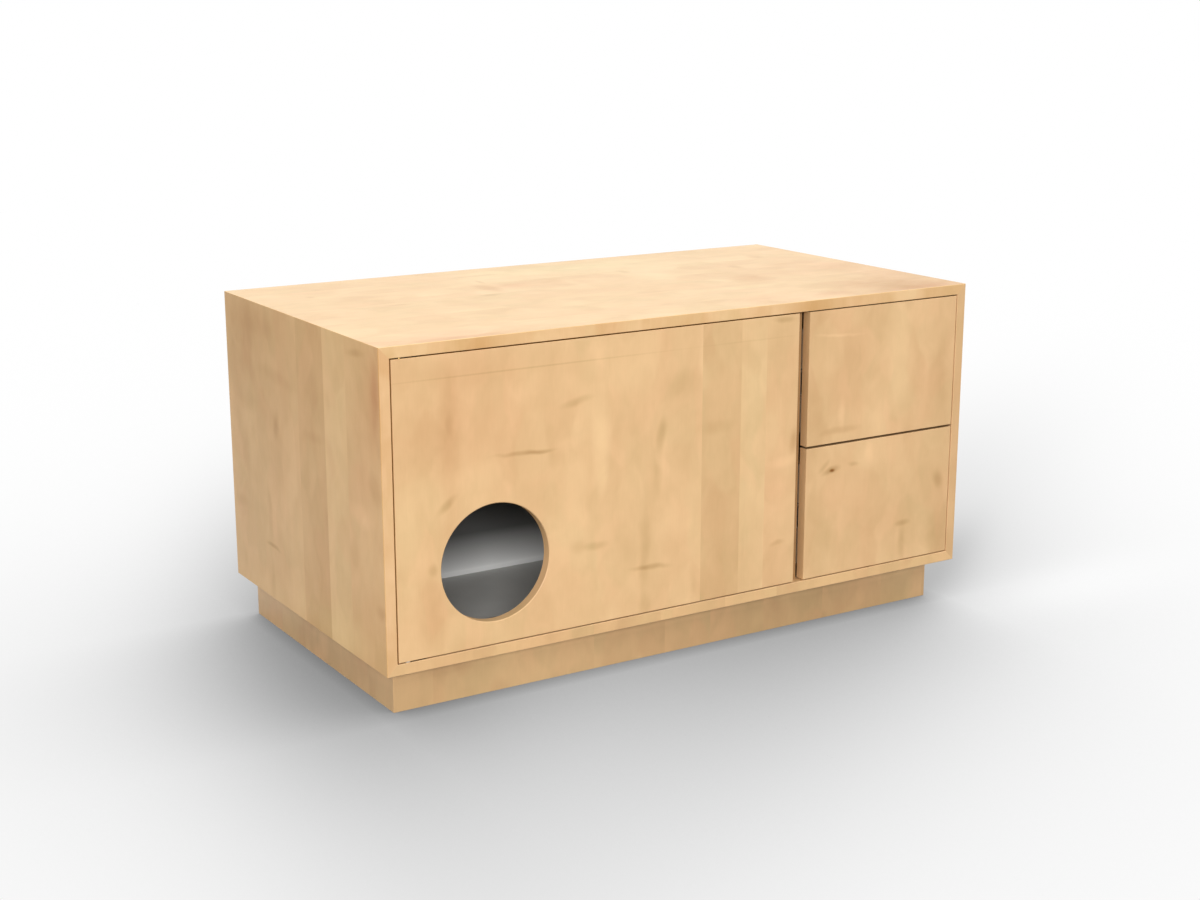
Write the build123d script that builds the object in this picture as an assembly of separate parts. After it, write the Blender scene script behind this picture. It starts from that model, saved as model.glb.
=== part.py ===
from build123d import *
import os

# Litter box cabinet: mitred carcass on a plinth, pivot-hung door with a cat entrance, two drawers.
# Millimetres. Origin: floor level under the middle of the carcass. +X right, -Y front, +Z up.

# Carcass
overall_width = 1200.0
overall_depth = 646.0
overall_height = 615.0
board = 19.0
divider_setback = 2.0
arris = 0.8
spline_width = 14.0
spline_thickness = 4.0
spline_from_inside = 8.0
spline_end_margin = 45.0
dowel_radius = 4.0
dowel_length = 30.0
dowel_cover = 7.0
dowel_place_shares = (0.12, 0.5, 0.88)

# Back panel
back_thickness = 8.0
back_rebate = 9.0
back_screw_bite = 22.0
back_screws_across = 7
back_screws_up = 3

# Plinth
plinth_height = 80.0
plinth_board = 19.0
plinth_side_inset = 30.0
plinth_front_inset = 44.0
plinth_back_inset = 17.5
corner_block = 40.0
corner_block_drop = 20.0

# Door and its cat entrance
front_thickness = 19.0
front_gap = 2.0
hole_diameter = 200.0
hole_from_left = 200.0
hole_above_carcass = 160.0
hole_arris = 1.2

# Door pivots
pivot_from_edge = 18.0
pivot_from_face = 8.0
pivot_pin_radius = 3.0
pivot_pin_reach = 3.0
pivot_pin_root = 6.0
pivot_clearance = 0.05
pivot_bore_relief = 0.5
pivot_plate_length = 44.0
pivot_plate_width = 11.0
pivot_plate_thickness = 2.5
pivot_plate_overhang = 9.0
pivot_screw_offset = 13.0
pivot_screw_spacing = 14.0
washer_rim = 2.2
washer_slack = 0.05

# Magnetic catch
catch_width = 12.0
catch_length = 36.0
catch_height = 14.0
catch_drop = 30.0
catch_screw_shares = (0.52, 0.84)
magnet_width = 7.0
magnet_depth = 10.0
magnet_height = 9.0
strike_width = 9.0
strike_margin = 1.0
strike_thickness = 1.5

# Drawers
drawer_front_width = 344.0
drawer_box_length = 505.0
drawer_box_rise = 20.0
drawer_box_drop = 36.0
drawer_side = 12.0
drawer_bottom = 6.0
drawer_bottom_rise = 10.0
drawer_groove = 5.0
drawer_screw_inset = 40.0

# Drawer runners
runner_length = 500.0
runner_width = 12.7
runner_height = 45.0
runner_sheet = 1.2
runner_clearance = 0.3
runner_screw_shares = (0.08, 0.46, 0.9)

# Litter tray
tray_length = 540.0
tray_depth = 335.0
tray_height = 150.0
tray_wall = 2.5
tray_draft = 8.0
tray_corner = 40.0
tray_lip = 36.0
tray_slope_share = 0.45
tray_from_side = 41.0
tray_from_door = 5.0
mat_thickness = 2.0
mat_edge_gap = 0.6

# Screws
sunk_head_radius = 3.5
sunk_head_height = 2.0
sunk_shank_radius = 1.7
pan_head_radius = 3.8
pan_head_height = 2.0
pan_shank_radius = 1.9
plinth_head_radius = 5.0
plinth_head_height = 3.0
plinth_shank_radius = 2.5
screw_bite = 10.0
screw_cover = 3.5

# Fits and cuts
fit_clearance = 0.2
screw_clearance = 0.05
overrun = 1.0

# Places worked out from the sizes above
half_width = overall_width / 2
front = -overall_depth / 2
back = overall_depth / 2
inner_left = board - half_width
inner_right = half_width - board
floor_z = plinth_height + board
ceiling_z = overall_height - board
middle_z = (floor_z + ceiling_z) / 2
back_inside = back - back_thickness
front_back = front + front_thickness

divider_right = inner_right - front_gap - drawer_front_width - front_gap
divider_left = divider_right - board
divider_middle = divider_right - board / 2
divider_front = front_back + divider_setback

door_left = inner_left + front_gap
door_right = divider_left - front_gap
door_bottom = floor_z + front_gap
door_top = ceiling_z - front_gap
hole_x = hole_from_left - half_width
hole_z = plinth_height + hole_above_carcass

pivot_x = door_left + pivot_from_edge
pivot_y = front + pivot_from_face
plate_middle = pivot_x - pivot_plate_overhang + pivot_plate_length / 2
pivot_screw_places = (pivot_x + pivot_screw_offset, pivot_x + pivot_screw_offset + pivot_screw_spacing)

catch_front = front_back + strike_thickness
catch_top = door_top - catch_drop
catch_bottom = catch_top - catch_height
catch_middle = (catch_top + catch_bottom) / 2

plinth_left_x = plinth_side_inset - half_width
plinth_right_x = half_width - plinth_side_inset
plinth_front_y = front + plinth_front_inset
plinth_back_y = back - plinth_back_inset

box_left = divider_right + runner_width
box_right = inner_right - runner_width
box_back = front_back + drawer_box_length

tray_left = inner_left + tray_from_side
tray_front = front_back + tray_from_door

up = Vector(0, 0, 1)
down = Vector(0, 0, -1)
forward = Vector(0, -1, 0)
rearward = Vector(0, 1, 0)
rightward = Vector(1, 0, 0)
leftward = Vector(-1, 0, 0)


def block(x0, x1, y0, y1, z0, z1):
    """A box between two corners."""
    return Pos((x0 + x1) / 2, (y0 + y1) / 2, (z0 + z1) / 2) * Box(x1 - x0, y1 - y0, z1 - z0)


def rod(start, direction, radius, length):
    """A round bar from a point along a direction."""
    base = Align.CENTER, Align.CENTER, Align.MIN
    return Plane(origin=start, z_dir=direction) * Cylinder(radius, length, align=base)


def along_depth(points, y0, y1):
    """A section drawn in X and Z, run from y0 back to y1."""
    section = Plane(origin=(0, y0, 0), x_dir=rightward, z_dir=forward) * Polygon(*points, align=None)
    return extrude(section, amount=y1 - y0, dir=rearward)


def along_height(points, z0, z1):
    """An outline drawn in X and Y, run from z0 up to z1."""
    return extrude(Pos(0, 0, z0) * Polygon(*points, align=None), amount=z1 - z0, dir=up)


def sunk_screw(seat, direction, length, slack=0.0):
    """A countersunk screw whose flat head is flush at the seat; slack gives the hole for it."""
    head_radius = sunk_head_radius + slack
    shank_radius = sunk_shank_radius + slack
    base = Align.CENTER, Align.CENTER, Align.MIN
    head = Plane(origin=seat, z_dir=direction) * Cone(head_radius, shank_radius, sunk_head_height, align=base)
    return head + rod(seat, direction, shank_radius, length + slack)


def flat_screw(seat, direction, length, head_radius, head_height, shank_radius):
    """A screw whose head stands on the seat and whose shank goes in along the direction."""
    head = rod(seat, direction * -1, head_radius, head_height)
    return head + rod(seat, direction, shank_radius, length)


def shank_hole(seat, direction, length, shank_radius):
    """The hole for the shank of a screw that stands on its seat."""
    return rod(seat, direction, shank_radius + screw_clearance, length + screw_clearance)


def sunk_hole(seat, direction, length):
    """The countersunk hole for a flush screw."""
    return sunk_screw(seat, direction, length, screw_clearance)


def cut(solid, tools):
    """A solid less every tool in a list."""
    for tool in tools:
        solid = solid - tool
    return solid


def write(name, *solids):
    """Write one node, from one solid or from a group of separate ones."""
    shape = solids[0] if len(solids) == 1 else Compound(children=list(solids))
    shape.label = name
    export_step(shape, os.path.join("parts", name + ".step"))


# Screws and dowels: each list of places serves both the fastener and its holes

def back_screw_places():
    """Seats of the screws that hold the back panel to the boards round it and to the divider."""
    edge = back_rebate / 2
    low, high = floor_z - edge, ceiling_z + edge
    left, right = inner_left - edge, inner_right + edge
    across = (right - left) / (back_screws_across + 1)
    rise = (high - low) / (back_screws_up + 1)
    places = [(left + across * (i + 1), z) for z in (low, high) for i in range(back_screws_across)]
    uprights = left, divider_middle, right
    places += [(x, low + rise * (i + 1)) for x in uprights for i in range(back_screws_up)]
    return [Vector(x, back, z) for x, z in places]


def dowel_seats():
    """Ends of the divider's dowels inside the divider, with the way each one points."""
    reach = dowel_length - (board - dowel_cover)
    run = back_inside - divider_front
    ways = (ceiling_z - reach, up), (floor_z + reach, down)
    return [
        (Vector(divider_middle, divider_front + run * share, z), way)
        for share in dowel_place_shares for z, way in ways
    ]


def block_corners():
    """Middles of the plinth's corner blocks."""
    inset = plinth_board + corner_block / 2
    return [
        (x, y)
        for x in (plinth_left_x + inset, plinth_right_x - inset)
        for y in (plinth_front_y + inset, plinth_back_y - inset)
    ]


back_screws = [(place, forward, back_thickness + back_screw_bite) for place in back_screw_places()]
dowels = dowel_seats()
plinth_screw_length = plinth_height - corner_block_drop + board - screw_cover
plinth_screws = [(Vector(x, y, corner_block_drop), up, plinth_screw_length) for x, y in block_corners()]
plate_screw_length = board - screw_cover
top_seat_screws = [(Vector(x, pivot_y, ceiling_z), up, plate_screw_length) for x in pivot_screw_places]
bottom_pin_screws = [(Vector(x, pivot_y, floor_z), down, plate_screw_length) for x in pivot_screw_places]
top_pin_screws = [(Vector(x, pivot_y, door_top), down, plate_screw_length) for x in pivot_screw_places]
bottom_seat_screws = [(Vector(x, pivot_y, door_bottom), up, plate_screw_length) for x in pivot_screw_places]
catch_screws = [
    (Vector(divider_left - catch_width, catch_front + catch_length * share, catch_middle),
     rightward, catch_width + screw_bite)
    for share in catch_screw_shares
]
strike_middle = door_right - strike_margin - strike_width / 2
strike_screw = (Vector(strike_middle, catch_front, catch_middle), forward, strike_thickness + screw_bite)


# Carcass

def mitre_corners():
    """Inner corners of the carcass, each with the way out towards its outer corner."""
    return [
        (Vector(x, 0, z), Vector(x_way, 0, z_way))
        for x, x_way in ((inner_left, -1), (inner_right, 1))
        for z, z_way in ((floor_z, -1), (ceiling_z, 1))
    ]


def mitre_spline(corner, way, slack=0.0):
    """A loose tongue across one mitre, stopped short of both ends; slack gives its slot."""
    middle_y = (front + spline_end_margin + back_inside - spline_end_margin) / 2
    length = back_inside - front - spline_end_margin * 2
    middle = corner + way.normalized() * spline_from_inside + Vector(0, middle_y, 0)
    lie = Plane(origin=middle, x_dir=rearward, z_dir=way)
    return lie * Box(length + slack, spline_width + slack, spline_thickness + slack)


def back_rebate_cut():
    """The space that the back panel sits in."""
    return block(
        inner_left - back_rebate, inner_right + back_rebate, back_inside, back + overrun,
        floor_z - back_rebate, ceiling_z + back_rebate)


def carcass_board(outline, run):
    """One mitred board along a run: eased in front, less its rebate, spline slots and screw holes."""
    solid = along_depth(outline, front, back)
    show_face = solid.faces().sort_by(Axis.Y)[0]
    solid = chamfer(show_face.edges().filter_by(run), arris)
    slots = [mitre_spline(corner, way, fit_clearance) for corner, way in mitre_corners()]
    holes = [sunk_hole(*place) for place in back_screws]
    return cut(solid, [back_rebate_cut()] + slots + holes)


def level_board(outer_z, inner_z):
    """The top or bottom board; the tip of each mitre is eased by the arris."""
    step = arris / 2 if outer_z > inner_z else -arris / 2
    return carcass_board([
        (arris - half_width, outer_z), (half_width - arris, outer_z),
        (half_width - arris / 2, outer_z - step), (inner_right, inner_z),
        (inner_left, inner_z), (arris / 2 - half_width, outer_z - step),
    ], Axis.X)


def upright_board(outer_x, inner_x):
    """The left or right board; the tip of each mitre is eased by the arris."""
    step = arris / 2 if outer_x > inner_x else -arris / 2
    return carcass_board([
        (outer_x, plinth_height + arris), (outer_x, overall_height - arris),
        (outer_x - step, overall_height - arris / 2), (inner_x, ceiling_z),
        (inner_x, floor_z), (outer_x - step, plinth_height + arris / 2),
    ], Axis.Z)


def dowel_holes():
    """Holes for the divider's dowels, in the divider and in the boards above and below it."""
    return [rod(seat, way, dowel_radius + screw_clearance, dowel_length) for seat, way in dowels]


def make_carcass():
    top = level_board(overall_height, ceiling_z)
    bottom = level_board(plinth_height, floor_z)
    left = upright_board(-half_width, inner_left)
    right = upright_board(half_width, inner_right)
    divider = block(divider_left, divider_right, divider_front, back_inside, floor_z, ceiling_z)

    top = cut(top, dowel_holes() + [pivot_pocket(ceiling_z, up)])
    top = cut(top, [pivot_tip_bore(ceiling_z, up)] + [sunk_hole(*screw) for screw in top_seat_screws])
    bottom = cut(bottom, dowel_holes() + [pivot_pocket(floor_z, down)])
    bottom = cut(bottom, [pivot_root_bore(floor_z, down)] + [sunk_hole(*screw) for screw in bottom_pin_screws])
    bottom = cut(bottom, [shank_hole(*screw, plinth_shank_radius) for screw in plinth_screws])
    divider = cut(divider, dowel_holes() + [sunk_hole(*screw) for screw in catch_screws + back_screws])
    runner_holes = [shank_hole(*screw, pan_shank_radius) for screw in cabinet_runner_screws()]
    divider = cut(divider, runner_holes)
    right = cut(right, runner_holes)

    panel = block(
        inner_left - back_rebate + fit_clearance, inner_right + back_rebate - fit_clearance,
        back_inside, back,
        floor_z - back_rebate + fit_clearance, ceiling_z + back_rebate - fit_clearance)
    panel = cut(panel, [sunk_hole(*screw) for screw in back_screws])

    write("top_panel", top)
    write("bottom_panel", bottom)
    write("left_side_panel", left)
    write("right_side_panel", right)
    write("divider_panel", divider)
    write("back_panel", panel)
    write("mitre_splines", *[mitre_spline(corner, way) for corner, way in mitre_corners()])
    write("divider_dowels", *[rod(seat, way, dowel_radius, dowel_length) for seat, way in dowels])
    write("back_panel_screws", *[sunk_screw(*screw) for screw in back_screws])


# Plinth

def make_plinth():
    left, right = plinth_left_x, plinth_right_x
    near, far = plinth_front_y, plinth_back_y
    t, a = plinth_board, arris
    outlines = {
        "plinth_front": [
            (left + a, near), (right - a, near), (right - a / 2, near + a / 2),
            (right - t, near + t), (left + t, near + t), (left + a / 2, near + a / 2)],
        "plinth_back": [
            (left + a, far), (right - a, far), (right - a / 2, far - a / 2),
            (right - t, far - t), (left + t, far - t), (left + a / 2, far - a / 2)],
        "plinth_left": [
            (left, near + a), (left, far - a), (left + a / 2, far - a / 2),
            (left + t, far - t), (left + t, near + t), (left + a / 2, near + a / 2)],
        "plinth_right": [
            (right, near + a), (right, far - a), (right - a / 2, far - a / 2),
            (right - t, far - t), (right - t, near + t), (right - a / 2, near + a / 2)],
    }
    for name, outline in outlines.items():
        write(name, along_height(outline, 0, plinth_height))
    write("plinth_cross_rail", block(-t / 2, t / 2, near + t, far - t, 0, plinth_height))

    half = corner_block / 2
    blocks = [
        block(x - half, x + half, y - half, y + half, corner_block_drop, plinth_height)
        for x, y in block_corners()
    ]
    holes = [shank_hole(*screw, plinth_shank_radius) for screw in plinth_screws]
    write("plinth_corner_blocks", *[solid - hole for solid, hole in zip(blocks, holes)])
    write("plinth_screws", *[
        flat_screw(*screw, plinth_head_radius, plinth_head_height, plinth_shank_radius)
        for screw in plinth_screws])


# Door, pivots and catch

def pivot_plate(face_z, way, slack=0.0):
    """A round-ended plate let in flush with a face, along the way that points into the wood."""
    outline = SlotOverall(pivot_plate_length + slack, pivot_plate_width + slack)
    lie = Pos(plate_middle, pivot_y, face_z) * outline
    return extrude(lie, amount=pivot_plate_thickness, dir=way)


def pivot_pocket(face_z, way):
    """The pocket for one pivot plate."""
    return pivot_plate(face_z, way, fit_clearance)


def pivot_tip_bore(face_z, way):
    """Free space beyond a bored plate, for the tip of the pin."""
    depth = pivot_plate_thickness + pivot_pin_reach + pivot_bore_relief
    return rod(Vector(pivot_x, pivot_y, face_z), way, pivot_pin_radius + pivot_bore_relief, depth)


def pivot_root_bore(face_z, way):
    """The hole behind a pinned plate, for the root of the pin."""
    depth = pivot_plate_thickness + pivot_pin_root + screw_clearance
    return rod(Vector(pivot_x, pivot_y, face_z), way, pivot_pin_radius + screw_clearance, depth)


def bored_plate(face_z, way, screws):
    """A pivot plate with a running bore for the pin."""
    bore_start = Vector(pivot_x, pivot_y, face_z) - way * overrun
    bore = rod(bore_start, way, pivot_pin_radius + pivot_clearance, pivot_plate_thickness + overrun * 2)
    return cut(pivot_plate(face_z, way), [bore] + [sunk_hole(*screw) for screw in screws])


def pinned_plate(face_z, way, screws):
    """A pivot plate with its pin, which crosses the gap and ends beyond the plate opposite."""
    root = pivot_plate_thickness + pivot_pin_root
    reach = front_gap + pivot_plate_thickness + pivot_pin_reach
    pin = rod(Vector(pivot_x, pivot_y, face_z) + way * root, way * -1, pivot_pin_radius, root + reach)
    return cut(pivot_plate(face_z, way), [sunk_hole(*screw) for screw in screws]) + pin


def thrust_washer():
    """The washer on the bottom pin that carries the door."""
    outer = pivot_pin_radius + pivot_clearance + washer_rim
    thickness = front_gap - washer_slack
    seat = Vector(pivot_x, pivot_y, floor_z)
    return rod(seat, up, outer, thickness) - rod(seat, up, pivot_pin_radius + pivot_clearance, thickness)


def door_panel():
    """The door, with eased front edges, the cat entrance and the seats of its fittings."""
    panel = eased_front(door_left, door_right, door_bottom, door_top)
    middle = Vector(hole_x, front - overrun, hole_z)
    panel = panel - rod(middle, rearward, hole_diameter / 2, front_thickness + overrun * 2)
    rims = panel.edges().filter_by(GeomType.CIRCLE)
    panel = chamfer(rims, hole_arris)
    panel = cut(panel, [pivot_pocket(door_top, down), pivot_root_bore(door_top, down)])
    panel = cut(panel, [pivot_pocket(door_bottom, up), pivot_tip_bore(door_bottom, up)])
    screws = top_pin_screws + bottom_seat_screws + [strike_screw]
    return cut(panel, [sunk_hole(*screw) for screw in screws])


def eased_front(x0, x1, z0, z1):
    """A door or drawer front with the edges of its show face eased."""
    panel = block(x0, x1, front, front_back, z0, z1)
    show_face = panel.faces().sort_by(Axis.Y)[0]
    return chamfer(show_face.edges(), arris)


def make_door():
    write("door_panel", door_panel())
    write("top_pivot_pin_plate", pinned_plate(door_top, down, top_pin_screws))
    write("bottom_pivot_seat", bored_plate(door_bottom, up, bottom_seat_screws))
    write("top_pivot_seat", bored_plate(ceiling_z, up, top_seat_screws))
    write("bottom_pivot_pin_plate", pinned_plate(floor_z, down, bottom_pin_screws))
    write("pivot_washer", thrust_washer())

    strike_right = door_right - strike_margin
    strike = block(
        strike_right - strike_width, strike_right, front_back, catch_front - screw_clearance,
        catch_bottom, catch_top)
    write("strike_plate", strike - sunk_hole(*strike_screw))
    magnet_x = strike_middle
    magnet = block(
        magnet_x - magnet_width / 2, magnet_x + magnet_width / 2, catch_front, catch_front + magnet_depth,
        catch_middle - magnet_height / 2, catch_middle + magnet_height / 2)
    body = block(
        divider_left - catch_width, divider_left, catch_front, catch_front + catch_length,
        catch_bottom, catch_top)
    write("catch_magnet", magnet)
    write("catch_body", cut(body, [magnet] + [sunk_hole(*screw) for screw in catch_screws]))

    fixed = top_seat_screws + bottom_pin_screws + catch_screws
    moving = top_pin_screws + bottom_seat_screws + [strike_screw]
    write("carcass_fitting_screws", *[sunk_screw(*screw) for screw in fixed])
    write("door_fitting_screws", *[sunk_screw(*screw) for screw in moving])


# Drawers and their runners

drawer_levels = {
    "upper": (middle_z + front_gap, ceiling_z - front_gap),
    "lower": (floor_z + front_gap, middle_z - front_gap),
}
runner_faces = {"left": (divider_right, rightward), "right": (inner_right, leftward)}


def box_heights(level):
    """Lower and upper edge of a drawer's box."""
    front_bottom, front_top = drawer_levels[level]
    return front_bottom + drawer_box_rise, front_top - drawer_box_drop


def runner_middle(level):
    """Height of the middle of a drawer's runners."""
    low, high = box_heights(level)
    return (low + high) / 2


def runner_channel(level, side, web, flange, height):
    """A runner member: an upright web and two flanges, as distances from the cabinet face."""
    face, way = runner_faces[side]
    z = runner_middle(level)

    def strip(span, z0, z1):
        ends = sorted((face + way.X * span[0], face + way.X * span[1]))
        return block(*ends, divider_front, divider_front + runner_length, z0, z1)

    low, high = z - height / 2, z + height / 2
    channel = strip(web, low, high)
    channel = channel + strip(flange, low, low + runner_sheet)
    return channel + strip(flange, high - runner_sheet, high)


middle_web = (runner_width - runner_sheet) / 2
middle_height = runner_height - (runner_sheet + runner_clearance) * 2
drawer_member_height = middle_height - (runner_sheet + runner_clearance) * 2
flange_end = runner_width - runner_sheet - runner_clearance


def cabinet_member(level, side):
    """The fixed member, open towards the drawer."""
    return runner_channel(level, side, (0, runner_sheet), (0, flange_end), runner_height)


def middle_member(level, side):
    """The middle member, which runs inside the fixed one."""
    web = middle_web, middle_web + runner_sheet
    flange = runner_sheet + runner_clearance, flange_end
    return runner_channel(level, side, web, flange, middle_height)


def drawer_member(level, side):
    """The member on the drawer's side, which runs inside the middle one."""
    web = runner_width - runner_sheet, runner_width
    flange = middle_web + runner_sheet + runner_clearance, runner_width
    return runner_channel(level, side, web, flange, drawer_member_height)


def runner_screws(level, side, seat, way):
    """Screws in a row along a runner, seated at a distance from the cabinet face."""
    face, outward = runner_faces[side]
    x = face + outward.X * seat
    length = runner_sheet + screw_bite
    return [
        (Vector(x, divider_front + runner_length * share, runner_middle(level)), way, length)
        for share in runner_screw_shares
    ]


def cabinet_side_screws(level, side):
    """Screws from a fixed member into the divider or the right side board."""
    outward = runner_faces[side][1]
    return runner_screws(level, side, runner_sheet, outward * -1)


def drawer_side_screws(level, side):
    """Screws from a drawer member into the drawer's side."""
    outward = runner_faces[side][1]
    return runner_screws(level, side, runner_width - runner_sheet, outward)


def cabinet_runner_screws():
    """Every screw that holds a fixed member."""
    return [
        screw for level in drawer_levels for side in runner_faces
        for screw in cabinet_side_screws(level, side)
    ]


def pan_screw(seat, way, length):
    """A screw with a flat round head."""
    return flat_screw(seat, way, length, pan_head_radius, pan_head_height, pan_shank_radius)


def pan_hole(seat, way, length):
    """The hole for such a screw."""
    return shank_hole(seat, way, length, pan_shank_radius)


def front_screws(level):
    """Screws through a drawer's inner front into its show front."""
    low, high = box_heights(level)
    seat_y = front_back + drawer_side
    inset = drawer_side + drawer_screw_inset
    return [
        (Vector(x, seat_y, z), forward, drawer_side + screw_bite)
        for x in (box_left + inset, box_right - inset)
        for z in (low + drawer_screw_inset, high - drawer_screw_inset)
    ]


def make_runners(level):
    for side in runner_faces:
        fixed_holes = [pan_hole(*screw) for screw in cabinet_side_screws(level, side)]
        drawer_holes = [pan_hole(*screw) for screw in drawer_side_screws(level, side)]
        place = level + "_" + side
        write(place + "_cabinet_runner", cut(cabinet_member(level, side), fixed_holes))
        write(place + "_middle_runner", middle_member(level, side))
        write(place + "_drawer_runner", cut(drawer_member(level, side), drawer_holes))
    screws = drawer_side_screws(level, "left") + drawer_side_screws(level, "right")
    write(level + "_drawer_runner_screws", *[pan_screw(*screw) for screw in screws])


def make_drawer(level):
    front_bottom, front_top = drawer_levels[level]
    low, high = box_heights(level)
    side_left, side_right = box_left + drawer_side, box_right - drawer_side
    bottom_low = low + drawer_bottom_rise
    bottom_high = bottom_low + drawer_bottom
    reach = drawer_groove - fit_clearance
    bottom = block(
        side_left - reach, side_right + reach,
        front_back + drawer_side - reach, box_back - drawer_side + reach, bottom_low, bottom_high)
    groove = block(
        side_left - drawer_groove, side_right + drawer_groove,
        front_back + drawer_side - drawer_groove, box_back - drawer_side + drawer_groove,
        bottom_low, bottom_high)
    face_holes = [pan_hole(*screw) for screw in front_screws(level)]
    left_holes = [pan_hole(*screw) for screw in drawer_side_screws(level, "left")]
    right_holes = [pan_hole(*screw) for screw in drawer_side_screws(level, "right")]

    show_front = eased_front(divider_right + front_gap, inner_right - front_gap, front_bottom, front_top)
    inner_front = block(side_left, side_right, front_back, front_back + drawer_side, low, high)
    rear = block(side_left, side_right, box_back - drawer_side, box_back, low, high)
    left = block(box_left, side_left, front_back, box_back, low, high)
    right = block(side_right, box_right, front_back, box_back, low, high)
    name = level + "_drawer"
    write(name + "_front", cut(show_front, face_holes))
    write(name + "_inner_front", cut(inner_front, [groove] + face_holes))
    write(name + "_back", rear - groove)
    write(name + "_left_side", cut(left, [groove] + left_holes))
    write(name + "_right_side", cut(right, [groove] + right_holes))
    write(name + "_bottom", bottom)
    write(name + "_front_screws", *[pan_screw(*screw) for screw in front_screws(level)])


# Litter tray

def tray_level(inset, z):
    """A rounded outline of the tray, drawn in from its rim by an inset."""
    middle = Pos(tray_left + tray_length / 2, tray_front + tray_depth / 2, z)
    outline = RectangleRounded(tray_length - inset * 2, tray_depth - inset * 2, tray_corner - inset)
    return middle * outline


def litter_tray():
    """An open tray with sloping walls and a low entry at the front."""
    rim_z = floor_z + tray_height
    outside = loft([tray_level(tray_draft, floor_z), tray_level(0, rim_z)])
    floor_inset = tray_draft + tray_wall
    inside = loft([tray_level(floor_inset, floor_z + tray_wall), tray_level(tray_wall, rim_z)])
    shell = outside - inside
    lip_z = floor_z + tray_lip
    slope_end = tray_front + tray_depth * tray_slope_share
    slope_start = tray_front + tray_corner
    near = tray_front - overrun
    high = rim_z + overrun
    profile = Polygon(
        (near, lip_z), (slope_start, lip_z), (slope_end, rim_z), (slope_end, high), (near, high), align=None)
    lie = Plane(origin=(tray_left - overrun, 0, 0), x_dir=rearward, z_dir=rightward)
    return shell - extrude(lie * profile, amount=tray_length + overrun * 2, dir=rightward)


def tray_mat():
    """A loose mat on the tray's floor."""
    inset = tray_draft + tray_wall + mat_edge_gap
    return extrude(tray_level(inset, floor_z + tray_wall), amount=mat_thickness, dir=up)


def make_tray():
    write("litter_tray", litter_tray())
    write("tray_mat", tray_mat())


os.makedirs("parts", exist_ok=True)
make_carcass()
make_plinth()
make_door()
for drawer_level in drawer_levels:
    make_runners(drawer_level)
    make_drawer(drawer_level)
write("cabinet_runner_screws", *[pan_screw(*screw) for screw in cabinet_runner_screws()])
make_tray()
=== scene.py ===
import math
import random

import bmesh
import bpy
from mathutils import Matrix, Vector


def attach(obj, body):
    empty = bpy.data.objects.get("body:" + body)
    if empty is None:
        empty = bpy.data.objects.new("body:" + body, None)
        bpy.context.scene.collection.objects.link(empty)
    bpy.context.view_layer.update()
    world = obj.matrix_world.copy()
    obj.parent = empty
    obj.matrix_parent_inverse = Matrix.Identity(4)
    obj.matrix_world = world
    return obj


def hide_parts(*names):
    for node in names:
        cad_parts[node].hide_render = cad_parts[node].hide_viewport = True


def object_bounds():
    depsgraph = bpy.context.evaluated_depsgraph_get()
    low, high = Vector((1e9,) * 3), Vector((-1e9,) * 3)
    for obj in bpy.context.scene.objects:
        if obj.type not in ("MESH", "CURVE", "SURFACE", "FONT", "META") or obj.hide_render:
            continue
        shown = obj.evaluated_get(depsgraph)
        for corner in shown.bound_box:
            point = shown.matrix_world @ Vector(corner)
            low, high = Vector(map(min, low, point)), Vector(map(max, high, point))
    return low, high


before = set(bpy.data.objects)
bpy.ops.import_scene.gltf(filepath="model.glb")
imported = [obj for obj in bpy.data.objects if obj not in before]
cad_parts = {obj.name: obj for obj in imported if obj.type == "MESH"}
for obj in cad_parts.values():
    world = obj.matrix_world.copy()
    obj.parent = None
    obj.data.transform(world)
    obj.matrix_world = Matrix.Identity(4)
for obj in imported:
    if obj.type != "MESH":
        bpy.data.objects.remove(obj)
cad_low, cad_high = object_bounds()

# Litter box cabinet in satin maple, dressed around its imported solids. Metres.
millimetre = 0.001

# Camera, at the viewing angle of the photograph
camera_place = (-1.7660, -2.8282, 1.1393)
camera_turn = (75.990, 0.0, -31.988)
camera_lens = 55.0
camera_sensor = 36.0

# Light: an even dome and one soft lamp, given by azimuth, elevation, distance, width, height and power
dome_strength = 1.07
light_aim = (0.0, 0.0, 0.3)
key_lamp = (-29.0, 18.0, 8.0, 4.0, 0.9, 292.0)

# Floor
floor_radius, floor_corners = 40.0, 64
floor_drop = 0.3 * millimetre
floor_bounce = (0.15, 0.15, 0.15)
floor_shade_reach = 10.0
floor_shade_samples = 16
floor_sky_power = 0.655
floor_side_power = 0.275
floor_side_azimuth, floor_side_elevation = 120.0, 15.0

# Soft pools in the floor's shade: place, half length, half width, turn in degrees, depth (below 0 is light)
floor_pools = (
    (-0.447, 0.196, 0.244, 0.907, -18.8, 0.464),
    (0.494, -0.146, 1.478, 0.310, 36.2, 0.214),
    (0.740, -0.140, 0.300, 0.060, 37.0, 0.200),
    (0.740, -0.380, 0.300, 0.120, 5.0, -0.100),
)

# Maple: its colour on most faces, a copy with painted shade for the left side and one with painted light for
# the top, and what tone and warmth do to each channel
maple_colour = (0.776, 0.496, 0.247)
left_painted_shade_maple_colour = (0.648, 0.385, 0.146)
top_painted_light_maple_colour = (0.841, 0.558, 0.266)
maple_tone_spread = (1.0, 1.19, 1.55)
top_and_left_tone_spread = (1.0, 1.35, 2.2)
plinth_tone_spread = (1.0, 1.05, 1.15)
maple_warm_spread = (0.06, -0.11, -0.08)

# Surface of the maple; the left side has one gloss at floor level and another at its top
maple_roughness, maple_roughness_drift = 0.34, 0.04
maple_relief = 0.05 * millimetre
maple_gloss, maple_edge_gloss = 0.5, 0.15
left_gloss = (0.75, 0.30)
gap_edge_gloss = 0.0

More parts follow.
